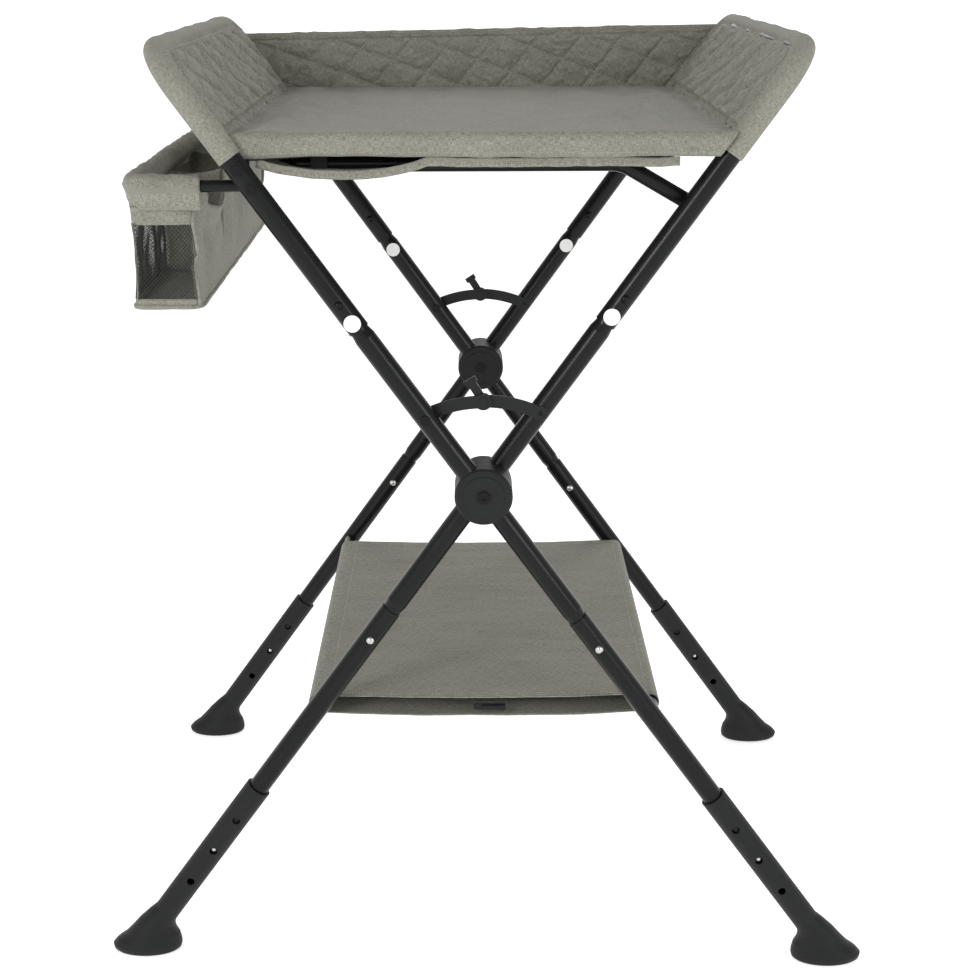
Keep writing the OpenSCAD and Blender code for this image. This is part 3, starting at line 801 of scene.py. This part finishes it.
def make_bed():
    """The padded bed, a closed tube of cloth from wing to wing with a sewn front edge."""
    z0, z1 = BED[0].z, BED[1].z
    y0, y1 = BED[0].y, BED[1].y
    edge = 0.008
    ring = []
    for y in steps(y0 + edge, y1 - edge, 76):
        ring.append((y, z1, 1))
    for turn in steps(0, math.pi / 2, 7)[1:]:
        ring.append((y1 - edge + edge * math.sin(turn), z1 - edge + edge * math.cos(turn), 0.4))
    for z in steps(z1 - edge, z0 + 0.004, 6)[1:]:
        ring.append((y1, z, 0))
    for y in steps(y1 - 0.004, y0 + 0.004, 60):
        ring.append((y, z0, -1))
    for z in steps(z0 + 0.004, z1 - edge, 6):
        ring.append((y0, z, 0))
    for turn in steps(0, math.pi / 2, 7)[1:-1]:
        ring.append((y0 + edge - edge * math.cos(turn), z1 - edge + edge * math.sin(turn), 0.4))
    columns = len(ring)
    rows = 150
    points, uvs = [], []
    for i in range(rows):
        t = 2 * i / (rows - 1) - 1
        run = 0.0
        for j, (y, z, face) in enumerate(ring):
            if j:
                run += math.dist(ring[j][:2], ring[j - 1][:2])
            half = leg_x(z) - COVER / math.cos(TILT) + 0.004
            x = half * math.copysign(abs(t) ** 0.93, t)
            wrinkle = crumple((x * 2.2, y * 0.7, 0), 0.09, 0.0028, 21) + crumple((x, y, 1), 0.03, 0.0007, 22)
            near = ease((abs(t) - 0.86) / 0.14)
            lift = 0.0
            if face == 1:
                lift = wrinkle * 0.8 + near * 0.0022 * math.sin(y * 190 + 3 * crumple((y, 0, 0), 0.1, 1, 23))
                lift -= near * 0.003
            front = crumple((x, z * 3, 0), 0.05, 0.0018, 24) * (1 if y < y0 + edge + 0.001 else 0)
            base = crumple((x, 0, 0), 0.12, 0.0016, 25) if face <= 0 and z < z0 + 0.006 else 0
            spread = -0.006 * ease((-x - 0.15) / 0.1) if y < y0 + 0.02 else 0
            points.append((x, y + front + spread, z + lift + base))
            uvs.append((x, run))
    faces = grid_faces(rows, columns, round_columns=True)
    for end in (0, (rows - 1) * columns):
        faces.append(tuple(end + j for j in range(columns)))
    bed = new_piece("bed_cover", points, faces, CLOTH, uvs)
    weld(bed)
    seam = [(x, y0, z0 + 0.0045) for x in steps(-leg_x(z0) + 0.016, leg_x(z0) - 0.016, 240)]
    stitches = sew("bed_hem_stitching", [seam], bed, Vector((0, -1, 0)), lift=0.0002)
    for piece in (bed, stitches):
        fold_over(piece)
    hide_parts("bed_pad")


FLAP_SAG = 0.0085                # how far the loose cloth's front edge hangs below the bed
LOOSE_SAG = 0.0125               # how much further it hangs in its loose part
LOOSE_PART = 0.4                 # the loose part's share of the width, from the left


def flap_sag(x, x0, width):
    """How far the loose cloth's front edge hangs at a place along the bed."""
    t = (x - x0) / width
    loose = LOOSE_SAG * math.sin(math.pi * t / LOOSE_PART) ** 0.8 if 0 < t < LOOSE_PART else 0
    return FLAP_SAG + loose + crumple((x, 0, 0), 0.07, 0.0012, 31)


def make_bed_flap():
    """The loose cloth under the bed's front edge, with an upright hem, sagging towards the left."""
    z0 = BED[0].z
    y0 = BED[0].y + 0.004
    rows, lip_rows = 26, 6
    x0, x1 = -leg_x(z0) + 0.022, leg_x(z0) - 0.05
    width, depth = x1 - x0, 0.1
    lip_height = 0.0075

    def spot(i, x):
        sag = flap_sag(x, x0, width)
        if i < lip_rows:
            lip = lip_height * (1 - i / (lip_rows - 1))
            lean = crumple((x, lip, 2), 0.03, 0.0012, 32)
            return (x, y0 + lean + lip * 0.3, z0 - sag + lip), (x, -lip)
        back = (i - lip_rows + 1) / (rows - lip_rows)
        drop = sag * (1 - ease(back)) + 0.002 * ease(back)
        ripple = crumple((x, back, 0), 0.05, 0.001, 33)
        return (x, y0 + depth * back, z0 - drop + ripple * (1 - back)), (x, back * depth)

    flap = grid_sheet("bed_underlay", range(rows), steps(x0, x1, 130), spot)
    thicken(flap, 0.0012)
    fold_over(flap)


# ---- The shelf ----


def shelf_profile():
    """The cloth's loop round the two shelf bars, as (x, z) points, with its length."""
    left, right = ((b[0] + b[1]) / 2 for b in SHELF_BARS)
    radius = (SHELF_BARS[0][1].z - SHELF_BARS[0][0].z) / 2 + 0.0012
    loop = []
    for x in steps(left.x, right.x, 90):
        loop.append((x, left.z + radius, 1))
    for turn in steps(0, math.pi, 14)[1:]:
        loop.append((right.x + radius * math.sin(turn), right.z + radius * math.cos(turn), 0))
    for x in steps(right.x, left.x, 70)[1:]:
        loop.append((x, left.z - radius, -1))
    for turn in steps(0, math.pi, 14)[1:-1]:
        loop.append((left.x - radius * math.sin(turn), left.z - radius * math.cos(turn), 0))
    return loop


def make_shelf():
    loop = shelf_profile()
    columns, rows = len(loop), 120
    y0, y1 = SHELF[0].y, SHELF[1].y
    points, uvs = [], []
    left, right = loop[0][0], max(p[0] for p in loop)
    lengths = [0.0]
    for a, b in zip(loop, loop[1:]):
        lengths.append(lengths[-1] + math.dist(a[:2], b[:2]))
    total = lengths[-1]
    for t in steps(0, 1, rows):
        y = y0 + (y1 - y0) * t
        for length, (x, z, face) in zip(lengths, loop):
            middle = max(0.0, math.sin(math.pi * (x - left) / (right - left))) if left < x < right else 0.0
            wrinkle = crumple((x * 0.7, y * 3.0, face), 0.1, 0.0022, 41)
            wrinkle += crumple((x * 0.8, y * 5, face), 0.03, 0.0006, 42)
            sag = -0.0035 * middle if face > 0 else -0.0045 * middle
            edge = 1 - 0.6 * ease((abs(2 * t - 1) - 0.9) / 0.1)
            lift = (sag + wrinkle * middle ** 0.4 * edge) if face else 0
            curl = crumple((x, face, 0), 0.08, 0.0012, 43) * ease((abs(2 * t - 1) - 0.94) / 0.06)
            points.append((x, y + curl, z + lift))
            uvs.append((length, y))
    cloth = new_piece("shelf_cloth_loop", points, grid_faces(rows, columns, round_columns=True), CLOTH, uvs)
    weld(cloth)
    thicken(cloth, 0.0011, offset=1)
    fix_loop_uv(cloth, total)
    top = SHELF[1].z
    lines = [[(x, y, top) for x in steps(left + 0.006, right - 0.006, 120)]
             for setback in (0.004, 0.009) for y in (y0 + setback, y1 - setback)]
    for x in (left + 0.012, right - 0.012):
        lines.append([(x, y, top) for y in steps(y0 + 0.01, y1 - 0.01, 120)])
    stitches = sew("shelf_stitching", lines, cloth, Vector((0, 0, 1)), lift=0.00025)
    for piece in (cloth, stitches):
        span_shelf(piece)
    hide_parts("shelf_cloth")
    make_zip(y0)


def fix_loop_uv(obj, total):
    """Takes the last strip of a closed loop on past its end, so that the weave doesn't run back."""
    layer = obj.data.uv_layers.active
    for polygon in obj.data.polygons:
        values = [layer.data[i].uv.x for i in polygon.loop_indices]
        if max(values) - min(values) > total / 2:
            for i in polygon.loop_indices:
                if layer.data[i].uv.x < total / 2:
                    layer.data[i].uv.x += total


def span_shelf(piece):
    """Bakes the piece's placement into its mesh."""
    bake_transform(piece)


def make_zip(y0):
    """The closed end of a zip at the middle of the shelf's front edge: two tapes and a slider."""
    z = (SHELF_BARS[0][0].z + SHELF_BARS[0][1].z) / 2
    data = bpy.data.meshes.new("shelf_zip_end")
    with edited(data) as mesh:
        for place, size in (((0.006, y0 - 0.0012, z - 0.0035), (0.034, 0.0016, 0.007)),
                            ((0.006, y0 - 0.0028, z - 0.0035), (0.016, 0.003, 0.0045)),
                            ((0.018, y0 - 0.0035, z - 0.004), (0.009, 0.0022, 0.006))):
            made = bmesh.ops.create_cube(mesh, size=1)
            bmesh.ops.scale(mesh, vec=size, verts=made["verts"])
            bmesh.ops.translate(mesh, vec=place, verts=made["verts"])
        bmesh.ops.bevel(mesh, geom=mesh.edges[:], offset=0.0006, segments=2, affect="EDGES")
    data.materials.append(PLASTIC)
    piece = put("shelf_zip_end", data)
    span_shelf(piece)


# ---- The basket ----

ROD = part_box("basket_rod")
ROD_RADIUS = (ROD[1].z - ROD[0].z - 0.001) / 2
HEM_RADIUS = 0.0088              # the rolled edge's radius round the rod
HEM_DROP = 0.023                 # from the rod's middle down to the seam that closes the roll
BAND_LOW = 0.036                 # from the rod's middle down to the band's lower edge
NET_LOW = 0.011                  # from the basket's floor up to the net windows
BORDER = 0.010                   # the cloth beside a window
SEAM = 0.006                     # from the outline in to the floor and the partitions
CORNER_TURN = 0.012              # the outline's corner radius


class Basket:
    """The hanging basket's outline: three sides hang from the rod, the inner side hangs free."""

    def __init__(self):
        low, high = BASKET
        self.rod_z = (ROD[0].z + ROD[1].z) / 2
        self.x0, self.x1 = ROD[0].x - 0.001, high.x - 0.001
        self.y0, self.y1 = ROD[0].y + 0.003, ROD[1].y - 0.003
        self.z0, self.z1 = low.z, high.z

    def outline(self, inset, count=7):
        """A rounded rectangle in plan, as (x, y) points from the outer front corner."""
        x0, x1 = self.x0 + inset, self.x1 - inset
        y0, y1 = self.y0 + inset, self.y1 - inset
        corner = CORNER_TURN
        points = []
        for cx, cy, start in ((x0 + corner, y0 + corner, 180), (x1 - corner, y0 + corner, 270),
                              (x1 - corner, y1 - corner, 0), (x0 + corner, y1 - corner, 90)):
            for i in range(count):
                turn = math.radians(start + 90 * i / (count - 1))
                points.append((cx + corner * math.cos(turn), cy + corner * math.sin(turn)))
        return points


def resample(points, gap):
    """Points along a closed outline at even spacing, with the distance run."""
    closed = points + points[:1]
    lengths = [0.0]
    for a, b in zip(closed, closed[1:]):
        lengths.append(lengths[-1] + math.dist(a, b))
    count = int(lengths[-1] / gap)
    result, k = [], 0
    for i in range(count):
        target = lengths[-1] * i / count
        while lengths[k + 1] < target:
            k += 1
        part = (target - lengths[k]) / max(1e-9, lengths[k + 1] - lengths[k])
        a, b = closed[k], closed[k + 1]
        result.append((a[0] + (b[0] - a[0]) * part, a[1] + (b[1] - a[1]) * part, target))
    return result, lengths[-1]


def basket_wall_point(basket, x, y, z):
    """Pulls a point of the basket's wall in or out to its soft shape at a height."""
    t = min(1, max(0, (z - basket.z0) / (basket.z1 - basket.z0)))
    slack = math.sin(math.pi * t)
    across = 2 * (x - basket.x0) / (basket.x1 - basket.x0) - 1
    along = 2 * (y - basket.y0) / (basket.y1 - basket.y0) - 1
    folds = 0.0034 * math.sin(y * 70 + 2 * math.sin(y * 23)) * (0.05 + 0.95 * t)
    sway = crumple((x * 1.5, y, z), 0.09, 0.005, 51) * slack
    push = (sway + folds * (1 if across > 0 else 0.08)) * abs(across) ** 4 - 0.005 * slack * across ** 5
    pinch = crumple((x, y * 0.5, z), 0.035, 0.006, 52) * slack * abs(along) ** 20
    return Vector((x + push + 0.003 * (1 - t) * -across, y + pinch, z))


def wall_band(basket, name, z_top, z_low, keep, rows, gap=0.004):
    """A strip of the basket's wall between two heights, over the part of the outline where keep is true."""
    outline = resample(basket.outline(0.0015), gap)[0]
    points, uvs, faces = [], [], []
    heights = steps(z_low, z_top, rows)
    for x, y, u in outline:
        for z in heights:
            points.append(basket_wall_point(basket, x, y, z))
            uvs.append((u, z))
    count = len(outline)
    for i in range(count):
        following = (i + 1) % count
        middle = [(outline[i][k] + outline[following][k]) / 2 for k in (0, 1)]
        if not keep(*middle):
            continue
        for j in range(rows - 1):
            a, b = i * rows + j, following * rows + j
            faces.append((a, b, b + 1, a + 1))
    piece = new_piece(name, points, faces, CLOTH, uvs)
    drop_loose(piece)
    return piece


def drop_loose(piece):
    with edited(piece.data) as mesh:
        bmesh.ops.delete(mesh, geom=[v for v in mesh.verts if not v.link_faces], context="VERTS")
        bmesh.ops.recalc_face_normals(mesh, faces=mesh.faces)


def make_basket():
    basket = Basket()
    z_low, z_high = basket.z0 + NET_LOW, basket.rod_z - BAND_LOW

    def inner_side(x, y):
        return x > basket.x1 - 0.004

    def hung_side(x, y):
        return not inner_side(x, y)

    def post(x, y):
        """The cloth at the corners, between the net windows."""
        near_y = min(y - basket.y0, basket.y1 - y)
        if near_y < 0.006:
            return hung_side(x, y) and (x - basket.x0 < BORDER * 0.5 or basket.x1 - x < BORDER * 0.8)
        return hung_side(x, y) and near_y < BORDER * 0.7

    band_top = basket.rod_z - HEM_DROP + 0.003
    band = wall_band(basket, "basket_top_band", band_top, z_high - 0.001, hung_side, 8)
    inner = wall_band(basket, "basket_inner_side", basket.z1 - 0.002, basket.z0 + 0.002, inner_side, 34)
    drop_pocket_edge(basket, inner)
    posts = wall_band(basket, "basket_corner_posts", z_high, z_low, post, 24, gap=0.0025)
    skirt = wall_band(basket, "basket_bottom_band", z_low, basket.z0 + 0.002, hung_side, 4)
    floor = basket_floor(basket)
    for piece in (band, inner, posts, skirt, floor):
        thicken(piece, 0.0016, offset=0)
        finish_basket(piece)
    perimeter = resample(basket.outline(0.0015), 0.006)[1]
    make_nets(basket, z_low, z_high)
    make_hem(basket)
    make_piping(basket)
    make_dividers(basket)
    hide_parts("basket_shell")


POCKET_DIP = 0.034               # how far the inner side's free edge sags near the front


def arch(place, start, width):
    """A rise and fall from 0 to 1 to 0 over a width."""
    part = (place - start) / width
    return math.sin(math.pi * part) if 0 < part < 1 else 0.0


def drop_pocket_edge(basket, inner):
    """Lets the inner side's free top edge sag near the front, which opens a gap under the rod."""
    for vertex in inner.data.vertices:
        t = (vertex.co.z - basket.z0) / (basket.z1 - basket.z0)
        near = vertex.co.y - basket.y0
        sag = POCKET_DIP * arch(near, 0.012, 0.19) ** 0.7 + 0.006 * arch(near, 0.2, 0.36)
        vertex.co.z -= sag * ease((t - 0.35) / 0.65)
        vertex.co.x += 0.004 * (sag / POCKET_DIP) * ease((t - 0.6) / 0.4)


def welt(name, path, radius, closed=False):
    """A round covered cord sewn along an edge, as a tube through points."""
    points, uvs = [], []
    count, around = len(path), 10
    run = 0.0
    for i, spot in enumerate(path):
        before = path[i - 1] if i or closed else spot
        after = path[(i + 1) % count] if i < count - 1 or closed else spot
        along = (after - before).normalized()
        reference = Vector((0.3, 0.2, 1)).normalized()
        side = (reference - along * reference.dot(along)).normalized()
        other = along.cross(side)
        swell = radius * (1 + 0.18 * crumple(spot, 0.02, 1, 81))
        for k in range(around):
            turn = 2 * math.pi * k / around
            points.append(spot + side * math.cos(turn) * swell + other * math.sin(turn) * swell)
            uvs.append((run, k * radius * 0.6))
        run += (after - spot).length
    faces = grid_faces(count, around, round_rows=closed, round_columns=True)
    if not closed:
        faces.append(tuple(range(around)))
        faces.append(tuple((count - 1) * around + k for k in reversed(range(around))))
    piece = new_piece(name, points, faces, CLOTH, uvs)
    weld(piece)
    finish_basket(piece)
    return piece


def make_piping(basket):
    """Covered cord round the basket's bottom and up its corners."""
    outline = resample(basket.outline(0.0012), 0.006)[0]
    loop = [basket_wall_point(basket, x, y, basket.z0 + 0.003) for x, y, u in outline]
    welt("basket_bottom_welt", loop, 0.0024, closed=True)
    for name, y in (("basket_front_corner_welt", basket.y0 + 0.004),
                    ("basket_rear_corner_welt", basket.y1 - 0.004)):
        up = []
        for z in steps(basket.z0 + 0.004, basket.rod_z - HEM_DROP + 0.012, 34):
            spot = basket_wall_point(basket, basket.x1 - 0.003, y, z)
            spot.x += crumple((0, 0, z), 0.035, 0.004, 83)
            up.append(spot)
        welt(name, up, 0.0019)


def finish_basket(piece):
    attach(piece, "left_frame")


def basket_floor(basket):
    x0, x1 = basket.x0 + SEAM, basket.x1 - SEAM

    def spot(y, t):
        x = x0 + (x1 - x0) * t
        sag = 0.003 * math.sin(math.pi * t) + crumple((x, y, 0), 0.05, 0.002, 55)
        return (x, y, basket.z0 + 0.0035 - sag * 0.6), (x, y)

    return grid_sheet("basket_bottom", steps(basket.y0 + 0.003, basket.y1 - 0.003, 90), steps(0, 1, 16), spot)


def net_panel(name, corner, across, up, columns, rows, basket):
    """A panel of knotless net: a diamond lattice of thin yarn."""
    points = []
    for i in range(rows + 1):
        for j in range(columns + 1):
            points.append(corner + across * (j / columns) + up * (i / rows))
    lattice = []
    for i in range(rows):
        for j in range(columns):
            a = i * (columns + 1) + j
            b, c, d = a + 1, a + columns + 1, a + columns + 2
            middle = len(points)
            points.append((points[a] + points[d]) / 2)
            lattice.extend([(a, b, middle), (b, d, middle), (d, c, middle), (c, a, middle)])
    soft = [basket_wall_point(basket, *p) for p in points]
    piece = new_piece(name, soft, lattice, NET)
    with edited(piece.data) as mesh:
        diagonal = [e for e in mesh.edges if len(e.link_faces) == 2
                    and not any(v.index >= (rows + 1) * (columns + 1) for v in e.verts)]
        bmesh.ops.dissolve_edges(mesh, edges=diagonal, use_verts=False)
    wire = piece.modifiers.new("yarn", "WIREFRAME")
    wire.thickness = 0.00075
    wire.use_even_offset = False
    wire.use_boundary = True
    apply_modifiers(piece)
    finish_basket(piece)
    return piece


def make_nets(basket, z_low, z_high):
    up = Vector((0, 0, z_high - z_low))
    cell = 0.0042
    rows = round((z_high - z_low) / cell)
    edge = BORDER * 0.6
    deep = basket.y1 - basket.y0 - 2 * edge
    wide = basket.x1 - basket.x0 - 2 * edge
    outer = net_panel("basket_net_outer", Vector((basket.x0 + 0.002, basket.y0 + edge, z_low)),
                      Vector((0, deep, 0)), up, round(deep / cell), rows, basket)
    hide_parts("basket_mesh")
    for name, y in (("basket_net_front", basket.y0 + 0.002), ("basket_net_rear", basket.y1 - 0.002)):
        net_panel(name, Vector((basket.x0 + edge, y, z_low)), Vector((wide, 0, 0)), up,
                  round(wide / cell), rows, basket)


def rod_route(basket):
    """The rod's middle line inside the hem, from the inner front end round the outside to the rear end."""
    corner = 0.02
    x0 = ROD[0].x + ROD_RADIUS
    y0, y1 = ROD[0].y + ROD_RADIUS, ROD[1].y - ROD_RADIUS
    bend = [(corner * (1 - math.sin(turn)), corner * (1 - math.cos(turn)))
            for turn in steps(0, math.pi / 2, 10)[1:-1]]
    route = [(x, y0) for x in steps(basket.x1, x0 + corner, 16)]
    route += [(x0 + a, y0 + b) for a, b in bend]
    route += [(x0, y) for y in steps(y0 + corner, y1 - corner, 150)]
    route += [(x0 + a, y1 - b) for a, b in reversed(bend)]
    route += [(x, y1) for x in steps(x0 + corner, basket.x1, 16)]
    return route


def make_hem(basket):
    """The basket's puffy top edge: cloth rolled over the rod and sewn to itself below it."""
    route = rod_route(basket)
    around = 22
    points, uvs = [], []
    count = len(route)
    run = 0.0
    for i, (x, y) in enumerate(route):
        before, after = route[max(0, i - 1)], route[min(count - 1, i + 1)]
        along = Vector((after[0] - before[0], after[1] - before[1], 0)).normalized()
        out = -along.cross(Vector((0, 0, 1)))
        centre = Vector((x, y, basket.rod_z))
        for k in range(around):
            turn = 2 * math.pi * k / around
            slack = 0.0022 + crumple((x, y, k * 0.013), 0.022, 0.0022, 61)
            radius = HEM_RADIUS + max(0.0, slack)
            side, height = math.cos(turn), math.sin(turn)
            shift, rise = side * radius, height * radius
            if height <= 0:
                thin = 1 - ease(-height * 1.05) * 0.9
                shift = shift * thin + ROD_RADIUS * 0.8 * ease(-height)
                rise = height * HEM_DROP
            points.append(centre + out * shift + Vector((0, 0, rise)))
            uvs.append((run, k * 0.0032))
        if i < count - 1:
            run += math.dist(route[i], route[i + 1])
    faces = grid_faces(count, around, round_columns=True)
    faces.append(tuple(reversed(range(around))))
    faces.append(tuple((count - 1) * around + k for k in range(around)))
    hem = new_piece("basket_hem", points, faces, CLOTH, uvs)
    weld(hem)
    finish_basket(hem)
    front = Vector((0, -1, 0))
    x_run = steps(basket.x0 + 0.006, basket.x1 - 0.004, 20)
    seam = sew("basket_hem_stitching", [[(x, basket.y0, basket.rod_z - HEM_DROP + 0.004) for x in x_run]],
               hem, front)
    edge = sew("basket_band_stitching", [[(x, basket.y0, basket.rod_z - BAND_LOW + 0.0025) for x in x_run]],
               bpy.data.objects["basket_top_band"], front)
    for piece in (seam, edge):
        finish_basket(piece)


DIVIDERS = (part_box("basket_dividers")[0].y + 0.001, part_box("basket_dividers")[1].y - 0.001)


def make_dividers(basket):
    """Two soft partitions across the basket, which slump a little between their sewn ends."""
    x0, x1 = basket.x0 + SEAM, basket.x1 - SEAM
    z0, z1 = basket.z0 + 0.004, basket.z1 - 0.010
    rows = 30
    for name, y in (("basket_divider_front", DIVIDERS[0]), ("basket_divider_rear", DIVIDERS[1])):
        def spot(i, t):
            x, z = x0 + (x1 - x0) * t, z0 + (z1 - z0) * i / (rows - 1)
            fold = 0.006 * math.sin(math.pi * t) * math.sin(math.pi * i / rows)
            dip = 0.006 * math.sin(math.pi * t) * (i / rows) ** 4
            return (x, y + fold + crumple((x * 2, z, y), 0.04, 0.003, 71), z - dip), (x, z)

        piece = grid_sheet(name, range(rows), steps(0, 1, 20), spot)
        thicken(piece, 0.0018, offset=0)
        finish_basket(piece)
    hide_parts("basket_dividers")


# ---- All of it ----

make_camera()
make_studio()
dress_cad()
for side in ("left", "right"):
    make_wing(side)
make_wall()
make_bed()
make_bed_flap()
make_shelf()
make_basket()
